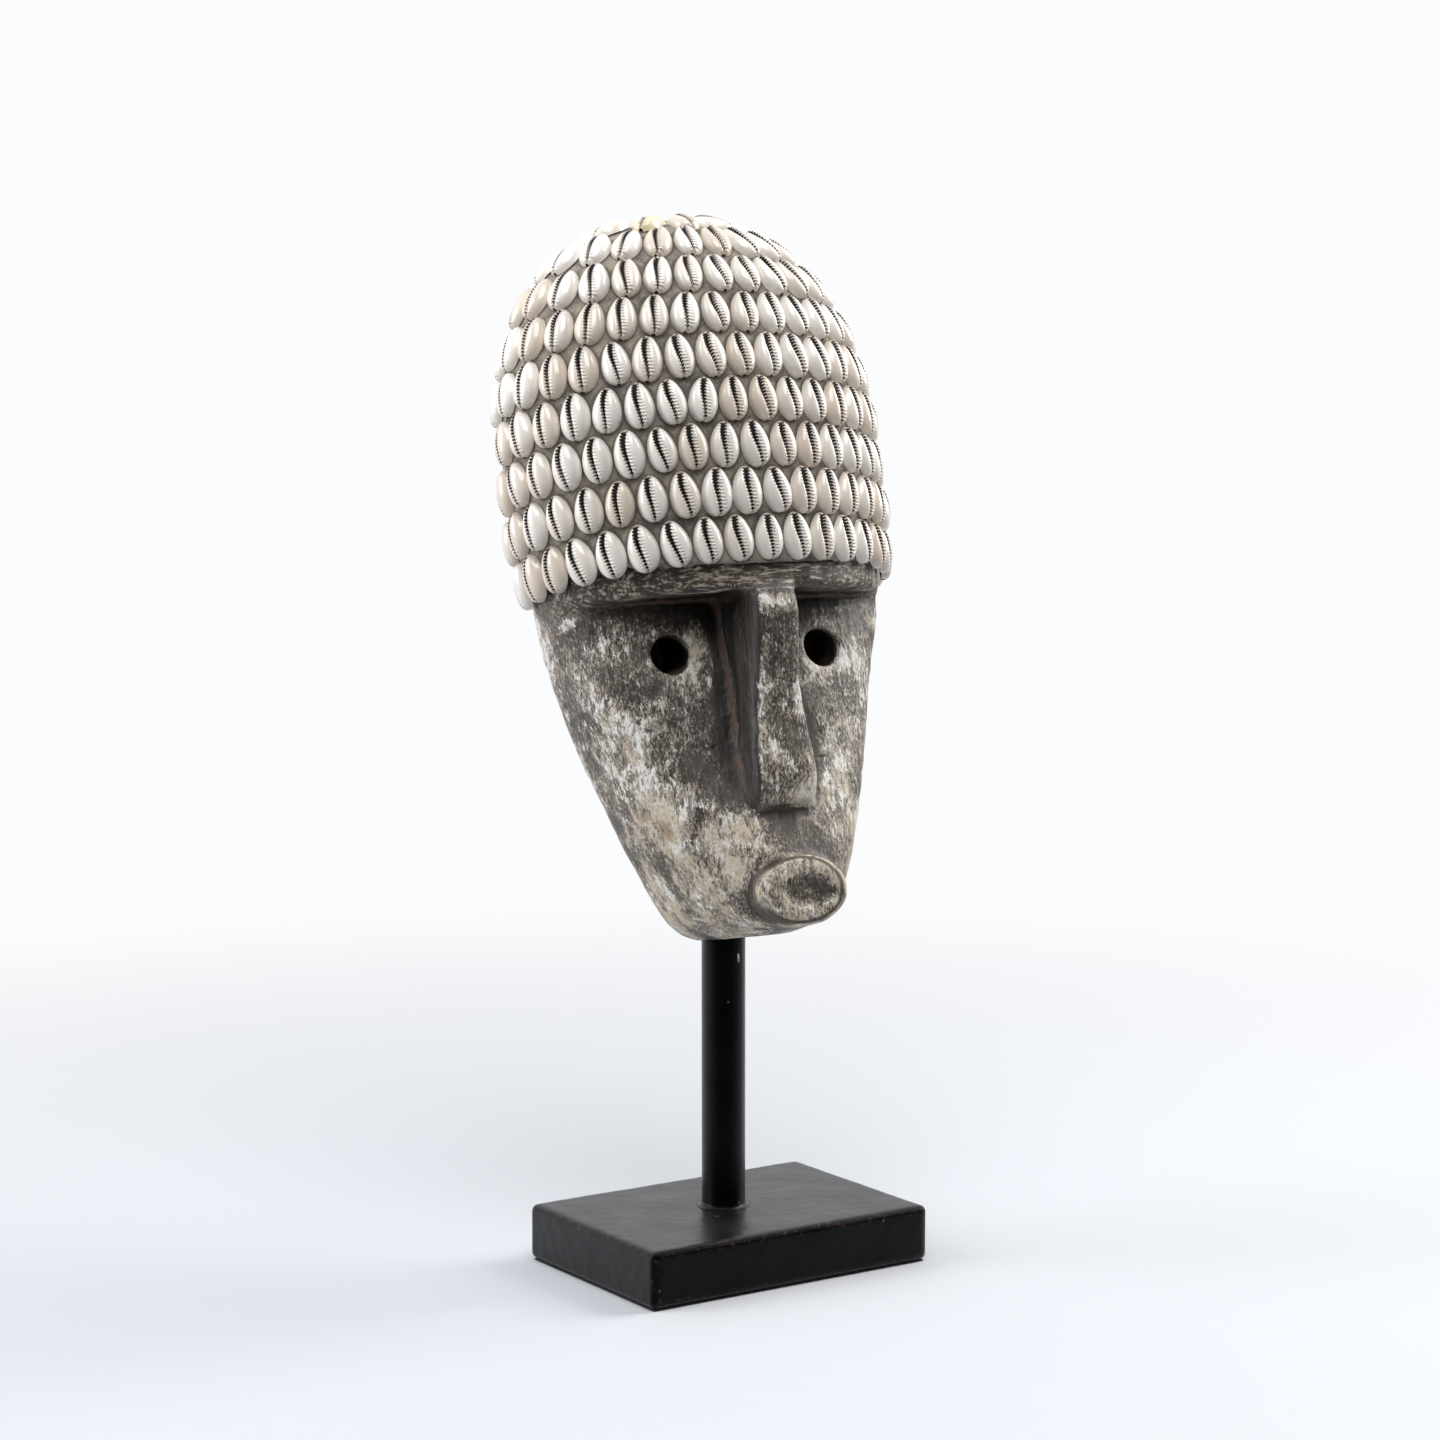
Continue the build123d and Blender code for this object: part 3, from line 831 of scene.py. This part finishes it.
def cowrie(name, slot_shift, slot_bend, slot_gap, pointed):
    """A cowrie with its back on z = 0, its length along y and its slot along the middle of the top."""
    half_length = SHELL_LENGTH / 2 * 1.04
    points, along, from_slot = [], [], []
    for row in range(ROWS):
        angle = math.pi * row / (ROWS - 1)
        y = -math.cos(angle)
        round_end = max(math.sin(angle), 0.10)
        half = SHELL_WIDTH / 2 * round_end ** 0.88 * (1 - pointed * y - 0.06 * y * y)
        crest = SHELL_HEIGHT * 0.94 * (0.30 + 0.70 * round_end ** 0.7)
        slot = slot_shift + slot_bend * y * y - 0.35 * y - 0.4 * math.sin(math.pi * y)
        slot *= min(1, half / 3.0)
        gap = slot_gap * (0.66 + 0.34 * y) * min(1, round_end * 2.2)
        left, right = slot - gap - 0.55, slot + gap + 0.55
        sides = [-half + (left + half) * step for step in LEFT_STEPS]
        sides += [left, slot - gap, slot - gap * 0.5, slot + gap * 0.5, slot + gap, right]
        sides += [half - (half - right) * step for step in RIGHT_STEPS]
        for x in sides:
            rim = min(abs(x) / half, 1)
            z = crest * (1 - rim ** 2.6) ** 0.5
            lip = abs(x - slot) - gap
            z -= 0.85 * math.exp(-max(lip, 0) / 0.9)
            if lip < -0.01:
                z -= 2.2 * min(1, round_end * 1.5)
            points.append((x * MM, y * half_length * MM, max(z, 0) * MM))
            along.append(y * half_length)
            from_slot.append(x - slot)
    columns = len(points) // ROWS
    faces = [
        (r * columns + c, r * columns + c + 1, (r + 1) * columns + c + 1, (r + 1) * columns + c)
        for r in range(ROWS - 1) for c in range(columns - 1)
    ]
    mesh = bpy.data.meshes.new(name)
    mesh.from_pydata(points, [], faces)
    mesh.shade_smooth()
    store(mesh, "along", along)
    store(mesh, "from_slot", from_slot)
    return bpy.data.objects.new(name, mesh)


variants = [
    cowrie("cowrie_0", -1.05, 1.30, 1.15, 0.16),
    cowrie("cowrie_1", -0.90, 1.00, 1.00, 0.20),
    cowrie("cowrie_2", -1.20, 1.60, 1.30, 0.12),
    cowrie("cowrie_3", -0.80, 1.15, 0.85, 0.18),
    cowrie("cowrie_4", -1.10, 0.90, 1.05, 0.14),
]
print("one cowrie:", len(variants[0].data.polygons), "faces")

# %% [markdown]
# ## Setting the shells
#
# A row becomes a handful of points, one for each seat, that carry the seat's rotation. A geometry
# node tree puts a cowrie on every point. It picks one of the variants, turns it a little about
# its own facing direction, and changes its size a little, as picked shells differ. It then makes
# the copies real and gives them their material. The same tree serves every row.

# %% The tree that sets shells
def shell_tree():
    """Cowries on points: a random variant, with a small random turn and size."""
    tree = bpy.data.node_groups.new("set_shells", "GeometryNodeTree")
    face = tree.interface

    def entry(title, kind, default=None):
        socket = face.new_socket(name=title, in_out="INPUT", socket_type=kind)
        if default is not None:
            socket.default_value = default
        return socket.identifier

    keys = {
        "seats": entry("Seats", "NodeSocketGeometry"),
        "shells": entry("Shells", "NodeSocketCollection"),
        "turn": entry("Largest Turn", "NodeSocketFloat", 0.1),
        "smallest": entry("Smallest Size", "NodeSocketFloat", 1.0),
        "largest": entry("Largest Size", "NodeSocketFloat", 1.08),
        "seed": entry("Seed", "NodeSocketInt", 0),
        "material": entry("Material", "NodeSocketMaterial"),
    }
    face.new_socket(name="Shells Set", in_out="OUTPUT", socket_type="NodeSocketGeometry")
    start = tree.nodes.new("NodeGroupInput").outputs
    end = tree.nodes.new("NodeGroupOutput").inputs

    def random_value(kind, low, high, seed):
        made = tree.nodes.new("FunctionNodeRandomValue")
        made.data_type = kind
        used = [socket for socket in made.inputs if socket.enabled]
        feed(tree, used[0], low)
        feed(tree, used[1], high)
        feed(tree, made.inputs["Seed"], seed)
        return next(socket for socket in made.outputs if socket.enabled)

    kinds = node(tree, "GeometryNodeCollectionInfo", Collection=start["Shells"])
    kinds.inputs["Separate Children"].default_value = True
    kinds.inputs["Reset Children"].default_value = True
    size = random_value("FLOAT", start["Smallest Size"], start["Largest Size"], start["Seed"])
    choice = random_value("INT", 0, len(variants) - 1, plus(tree, start["Seed"], 1))
    roll = random_value("FLOAT", times(tree, start["Largest Turn"], -1),
                        start["Largest Turn"], plus(tree, start["Seed"], 2))
    turn = tree.nodes.new("GeometryNodeInputNamedAttribute")
    turn.data_type = "FLOAT_VECTOR"
    turn.inputs["Name"].default_value = "turn"
    aimed = node(tree, "FunctionNodeEulerToRotation")
    feed(tree, aimed.inputs[0], turn.outputs["Attribute"])
    placed = node(tree, "GeometryNodeInstanceOnPoints", Points=start["Seats"], Scale=size)
    feed(tree, placed.inputs["Instance"], kinds.outputs[0])
    feed(tree, placed.inputs["Rotation"], aimed.outputs[0])
    feed(tree, placed.inputs["Instance Index"], choice)
    placed.inputs["Pick Instance"].default_value = True
    tilt = node(tree, "ShaderNodeCombineXYZ", Z=roll)
    rolled = node(tree, "GeometryNodeRotateInstances", Instances=placed.outputs[0],
                  Rotation=tilt.outputs[0])
    rolled.inputs["Local Space"].default_value = True
    real = tree.nodes.new("GeometryNodeRealizeInstances")
    feed(tree, real.inputs[0], rolled.outputs[0])
    dressed = tree.nodes.new("GeometryNodeSetMaterial")
    feed(tree, dressed.inputs["Geometry"], real.outputs[0])
    feed(tree, dressed.inputs["Material"], start["Material"])
    feed(tree, end[0], dressed.outputs[0])
    return tree, keys


shell_tree_made, SHELL_KEYS = shell_tree()
print("tree inputs:", SHELL_KEYS)

# %% [markdown]
# ### Porcelain
#
# A cowrie is glazed like porcelain: a pale body under a thin clear coat. Around the mouth it is
# warmer, with a blue-grey patch on the broad lip. The mouth is coloured near black as painted
# shade of its deep opening, and its edge is cut by a row of teeth that run on across the broad lip
# as fine ridges, with painted shade in the grooves between them. Every shell has its own tint.

# %% Cowrie porcelain
TOOTH_PITCH = 1.42
PORCELAIN = (0.80, 0.755, 0.70)
PORCELAIN_WARM = (0.66, 0.575, 0.48)
PORCELAIN_GREY = (0.44, 0.45, 0.46)
PORCELAIN_YELLOW = (0.72, 0.64, 0.42)
# painted shade for the grooves between the lip's ridges
GROOVE_SHADE = (0.36, 0.29, 0.23)
LIP = (0.50, 0.37, 0.26)
# painted shade for the slot's deep opening
SLOT_SHADE = (0.006, 0.004, 0.003)


def cowrie_porcelain():
    """Glossy cream shell with a toothed slot; the slot and the ridge grooves carry painted shade."""
    material, tree, shader = finish_tree("cowrie_shell_finish")
    along = attribute(tree, "along")
    across = attribute(tree, "from_slot")
    tint = attribute(tree, "tint")
    second = attribute(tree, "second_tint")
    metres = object_place(tree)
    high = between(tree, along, -SHELL_LENGTH * 0.42, SHELL_LENGTH * 0.40)
    wave = maths(tree, "SINE", times(tree, along, 2 * math.pi / TOOTH_PITCH))
    gap = plus(tree, 0.46, times(tree, high, 0.74))
    toothed = plus(tree, gap, times(tree, wave, 0.40))
    far = maths(tree, "ABSOLUTE", across)
    open_mouth = minus(tree, toothed, far)
    mouth = between(tree, open_mouth, -0.09, 0.09)
    ends = between(tree, maths(tree, "ABSOLUTE", along), SHELL_LENGTH * 0.50, SHELL_LENGTH * 0.455)
    mouth = times(tree, mouth, ends)

    right = between(tree, across, 0.3, 0.9)
    ridge_fade = times(tree, right, between(tree, across, 3.6, 1.4))
    left_fade = times(tree, between(tree, across, -0.3, -0.7), between(tree, across, -1.7, -0.9))
    ridges = times(tree, wave, plus(tree, ridge_fade, left_fade))

    body = mixed(tree, between(tree, tint, 0.25, 0.95), PORCELAIN, PORCELAIN_WARM)
    body = mixed(tree, times(tree, between(tree, second, 0.975, 0.985), 0.85), body, PORCELAIN_YELLOW)
    clouds = blotches(tree, metres, 7, 3.0, 0.5)
    body = mixed(tree, times(tree, between(tree, clouds, 0.45, 0.75), 0.35), body, PORCELAIN_WARM)
    grey_spot = times(tree, ridge_fade, between(tree, along, -1.0, 3.0))
    grey_spot = times(tree, grey_spot, between(tree, second, 0.25, 0.75))
    body = mixed(tree, times(tree, grey_spot, 0.75), body, PORCELAIN_GREY)
    # the grooves between the ridges are darkened as painted shade
    groove_shade = times(tree, between(tree, ridges, -0.2, -0.9), 0.38)
    body = mixed(tree, groove_shade, body, GROOVE_SHADE)
    warm_lip = times(tree, between(tree, open_mouth, -0.55, -0.05), 0.45)
    body = mixed(tree, warm_lip, body, LIP)
    # the open slot is coloured near black as painted shade
    colour = mixed(tree, mouth, body, SLOT_SHADE)
    feed(tree, shader.inputs["Base Color"], colour)
    feed(tree, shader.inputs["Roughness"], plus(tree, 0.30, times(tree, mouth, 0.5)))
    feed(tree, shader.inputs["Coat Weight"], times(tree, minus(tree, 1.0, mouth), 0.9))
    shader.inputs["Coat Roughness"].default_value = 0.07
    feed(tree, shader.inputs["Normal"], bumped(tree, ridges, 0.22, 1.0))
    return material


porcelain = cowrie_porcelain()

# %% [markdown]
# ### Every row
#
# Now each row runs through the tree. A seed of its own gives each row its own choice of shells,
# and each seat carries two random tints. The result is made a plain mesh, which takes the place of
# the row in the frame and turns with the mask.

# %% Shells of every row
SHELL_TURN = math.radians(8)
FIRST_SEED = 11
variant_shelf = bpy.data.collections.new("cowrie_variants")
for shell in variants:
    variant_shelf.objects.link(shell)

chance = np.random.default_rng(7)
for number, name in enumerate(shell_nodes):
    row = seats[name]
    piece = plain_mesh(name.replace("shell", "cowries"), [base for base, _, _ in row], [])
    vectors = np.array([tuple(turn) for _, turn, _ in row], np.float32)
    turns = piece.data.attributes.new("turn", "FLOAT_VECTOR", "POINT")
    turns.data.foreach_set("vector", vectors.ravel())
    store(piece.data, "tint", chance.random(len(row)))
    store(piece.data, "second_tint", chance.random(len(row)))
    setter = piece.modifiers.new("set_shells", "NODES")
    setter.node_group = shell_tree_made
    setter[SHELL_KEYS["shells"]] = variant_shelf
    setter[SHELL_KEYS["turn"]] = SHELL_TURN
    setter[SHELL_KEYS["seed"]] = FIRST_SEED + 3 * number
    setter[SHELL_KEYS["material"]] = porcelain
    apply_modifiers(piece)
    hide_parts(name)
    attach(piece, "mask")
print("last row:", len(piece.data.polygons), "faces")

for shell in variants:
    bpy.data.objects.remove(shell)
bpy.data.collections.remove(variant_shelf)

# %% [markdown]
# ## The bedding
#
# The shells are pressed into a thin coat of filler over the wood. Between them it is uneven: it
# was pushed up in a low rim around each shell, and it has picked up grey dirt. The coat is
# remeshed, lifted near every shell, and roughened.

# %% Bedding
BED_VOXEL = 1.5
RIM_HEIGHT = 0.55
bed = remeshed(merged_copy("cap_bedding", "shell_bedding"), BED_VOXEL)
bed_points = smoothed(bed.data, points_of(bed.data), 1)
set_points(bed.data, bed_points)
bed_normals = normals_of(bed.data)
outside = (bed_normals * (bed_points - head_middle)).sum(axis=1) > 0
nearness = np.zeros(len(bed_points))
for row in seats.values():
    for base, turn, _ in row:
        local = (bed_points - base) @ np.array(turn.to_matrix())
        ring = np.hypot(local[:, 0] / (SHELL_WIDTH / 2), local[:, 1] / (SHELL_LENGTH / 2)) / MM
        near = np.exp(-((ring - 1.0) / 0.22) ** 2) * (np.abs(local[:, 2]) < 6 * MM)
        nearness = np.maximum(nearness, near)
bed_places = bed_points / MM
lumps = 0.45 * noise_at(bed_places, 5.5, 21) + 0.25 * noise_at(bed_places, 2.1, 22)
push = outside * (RIM_HEIGHT * nearness + 0.5 * lumps - 0.1)
set_points(bed.data, bed_points + bed_normals * (push * MM)[:, None])
store(bed.data, "nearness", nearness)
print("bedding", len(bed.data.polygons) * 2, "triangles")


BED_DARK = (0.12, 0.107, 0.092)
BED_PALE = (0.30, 0.26, 0.21)
BED_CRUST = (0.38, 0.335, 0.27)
BED_SAND = (0.22, 0.20, 0.18)
BED_GRIME = (0.10, 0.10, 0.105)
BED_SHADOW = (0.05, 0.043, 0.036)
BED_SPOT = (0.07, 0.06, 0.05)


def bedding_finish():
    """Dry beige filler, mottled and dirty."""
    material, tree, shader = finish_tree("bedding_finish")
    metres = object_place(tree)
    broad = blotches(tree, metres, 16, 4.0, 0.6, 0.3)
    small = blotches(tree, metres, 2.6, 6.0, 0.65, 0.2, 1.0)
    sand = blotches(tree, metres, 0.7, 3.0, 0.6, 0.0, 2.0)
    colour = mixed(tree, between(tree, broad, 0.36, 0.64), BED_DARK, BED_PALE)
    colour = mixed(tree, times(tree, between(tree, small, 0.42, 0.66), 0.6), colour,
                   BED_CRUST)
    colour = mixed(tree, times(tree, between(tree, sand, 0.55, 0.75), 0.5), colour,
                   BED_SAND)
    grime = between(tree, blotches(tree, metres, 11, 4.0, 0.6, 0.5, 3.0), 0.60, 0.70)
    colour = mixed(tree, times(tree, grime, 0.75), colour, BED_GRIME)
    shadowed = between(tree, attribute(tree, "nearness"), 0.25, 0.95)
    colour = mixed(tree, times(tree, shadowed, 0.7), colour, BED_SHADOW)
    spots = placed_group(tree, dust_group, Place=metres, Size=3.2, Amount=0.12)
    colour = mixed(tree, spots["Mask"], colour, BED_SPOT)
    feed(tree, shader.inputs["Base Color"], colour)
    feed(tree, shader.inputs["Roughness"], plus(tree, 0.72, times(tree, sand, 0.25)))
    relief = plus(tree, small, times(tree, sand, 0.4))
    feed(tree, shader.inputs["Normal"], bumped(tree, relief, 0.45))
    return material


bed.data.materials.append(bedding_finish())
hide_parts("cap_bedding")
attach(bed, "mask")

# %% [markdown]
# ## The black stand
#
# The block and the dowel are wood under black lacquer. The lacquer is satin and slightly uneven,
# as if brushed. On the block it has rubbed off along the edges and corners, down to red-brown
# primer, and it carries a few pale specks. The block's edges are eased by hand, so they wander.

# %% Base block
BLOCK_VOXEL = 1.5
block = remeshed(merged_copy("base_block", "lacquered_block"), BLOCK_VOXEL)
set_points(block.data, smoothed(block.data, points_of(block.data), 2))
block_points, block_normals = points_of(block.data), normals_of(block.data)
block_places = block_points / MM
push = 0.16 * noise_at(block_places, 26, 31) + 0.07 * noise_at(block_places, 5, 32)
upper = block_places[:, 2] > 2.5
set_points(block.data, block_points + block_normals * (push * upper * MM)[:, None])
ridge = -mark_relief(block, 8, "crease")
store(block.data, "ridge", ridge)
print("block", len(block.data.polygons) * 2, "triangles")


LACQUER_DARK = (0.0012, 0.0012, 0.0016)
LACQUER_PALE = (0.0035, 0.0035, 0.0042)
PRIMER = (0.060, 0.027, 0.018)


def black_lacquer(name, worn):
    """Satin black lacquer with brush marks, dust and, where worn is set, rubbed edges."""
    material, tree, shader = finish_tree(name)
    metres = object_place(tree)
    uneven = blotches(tree, metres, 22, 4.0, 0.55)
    brushed = blotches(tree, stretched(tree, metres, (0.12, 1.0, 1.0)), 1.6, 3.0, 0.5, 0.0, 2.0)
    colour = mixed(tree, between(tree, uneven, 0.35, 0.70), LACQUER_DARK, LACQUER_PALE)
    specks = placed_group(tree, dust_group, Place=metres, Size=5.5, Amount=0.05)
    colour = mixed(tree, times(tree, specks["Mask"], 0.5), colour, (0.14, 0.12, 0.10))
    if worn:
        edge = between(tree, attribute(tree, "ridge"), 0.12, 0.40)
        rubbed = placed_group(tree, worn_group, Place=metres, Edge=edge, Size=2.6, Amount=0.10)
        colour = mixed(tree, times(tree, rubbed["Mask"], 0.8), colour, PRIMER)
        nicks = blotches(tree, metres, 3.1, 3.0, 0.7, 0.0, 5.0)
        nicks = times(tree, between(tree, nicks, 0.735, 0.76), 0.8)
        colour = mixed(tree, nicks, colour, (0.10, 0.045, 0.028))
    feed(tree, shader.inputs["Base Color"], colour)
    rough = plus(tree, 0.24, times(tree, uneven, 0.20))
    feed(tree, shader.inputs["Roughness"], rough)
    facing = tree.nodes.new("ShaderNodeLayerWeight")
    facing.inputs["Blend"].default_value = 0.5
    grazing = maths(tree, "POWER", facing.outputs["Facing"], 1.3)
    sheen = plus(tree, 0.02, times(tree, grazing, 0.68))
    feed(tree, shader.inputs["Specular IOR Level"], sheen)
    height = plus(tree, times(tree, uneven, 1.2), times(tree, brushed, 0.18))
    feed(tree, shader.inputs["Normal"], bumped(tree, height, 0.35, 0.6))
    return material, tree, shader, metres, colour


block.data.materials.append(black_lacquer("black_lacquer_finish", True)[0])
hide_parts("base_block")
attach(block, "stand")

# %% [markdown]
# ### The dowel, its collar and the hidden parts
#
# The dowel, the bead of filler at its foot, the screw and the felt already have the right shape,
# so they stay, and only their finish changes. The dowel has one small chip in its lacquer near
# the top, where the mask was pushed down on it.

# %% Finishes of the parts that stay
CHIP_HEIGHT = 143.0
pole_low, pole_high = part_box("pole")
pole_middle = (pole_low + pole_high) / 2
pole_radius = (pole_high.x - pole_low.x) / 2


def dress(name, material):
    """Give a CAD part a finish through its own material slots."""
    part = nodes[name].data
    for index in range(max(len(part.materials), 1)):
        if index < len(part.materials):
            part.materials[index] = material
        else:
            part.materials.append(material)


pole_finish, tree, shader, metres, colour = black_lacquer("pole_lacquer_finish", False)
chip_turn = math.radians(9)
chip_centre = (
    pole_middle.x + pole_radius * math.sin(chip_turn),
    pole_middle.y - pole_radius * math.cos(chip_turn),
    CHIP_HEIGHT * MM,
)
gap = node(tree, "ShaderNodeVectorMath", {"operation": "SUBTRACT"})
feed(tree, gap.inputs[0], metres)
gap.inputs[1].default_value = chip_centre
squeezed = stretched(tree, gap.outputs["Vector"], (1.0, 1.0, 0.28))
reach = node(tree, "ShaderNodeVectorMath", {"operation": "LENGTH"}, Vector=squeezed).outputs["Value"]
frayed = plus(tree, reach, times(tree, blotches(tree, metres, 1.4, 4.0), 2.4 * MM))
chipped = between(tree, frayed, 1.85 * MM, 1.6 * MM)
feed(tree, shader.inputs["Base Color"], mixed(tree, chipped, colour, (0.62, 0.58, 0.52)))
dress("pole", pole_finish)


def plain_finish(name, dark, light, size_mm, rough_low, rough_high, metal, depth_mm):
    """A finish that varies between two colours and two roughnesses."""
    material, tree, shader = finish_tree(name)
    metres = object_place(tree)
    cloud = blotches(tree, metres, size_mm, 5.0, 0.6)
    grit = blotches(tree, metres, size_mm / 8, 3.0, 0.6, 0.0, 3.0)
    feed(tree, shader.inputs["Base Color"], mixed(tree, between(tree, cloud, 0.35, 0.65), dark, light))
    rough = plus(tree, rough_low, times(tree, grit, rough_high - rough_low))
    feed(tree, shader.inputs["Roughness"], rough)
    shader.inputs["Metallic"].default_value = metal
    feed(tree, shader.inputs["Normal"], bumped(tree, grit, depth_mm))
    return material


dress("foot_bead", black_lacquer("bead_finish", False)[0])
steel = plain_finish("screw_finish", (0.30, 0.30, 0.31), (0.46, 0.45, 0.44), 3, 0.28, 0.5, 1, 0.03)
dress("base_screw", steel)
felt = plain_finish("felt_finish", (0.010, 0.011, 0.011), (0.03, 0.03, 0.03), 2, 0.85, 1.0, 0, 0.3)
dress("felt_sheet", felt)
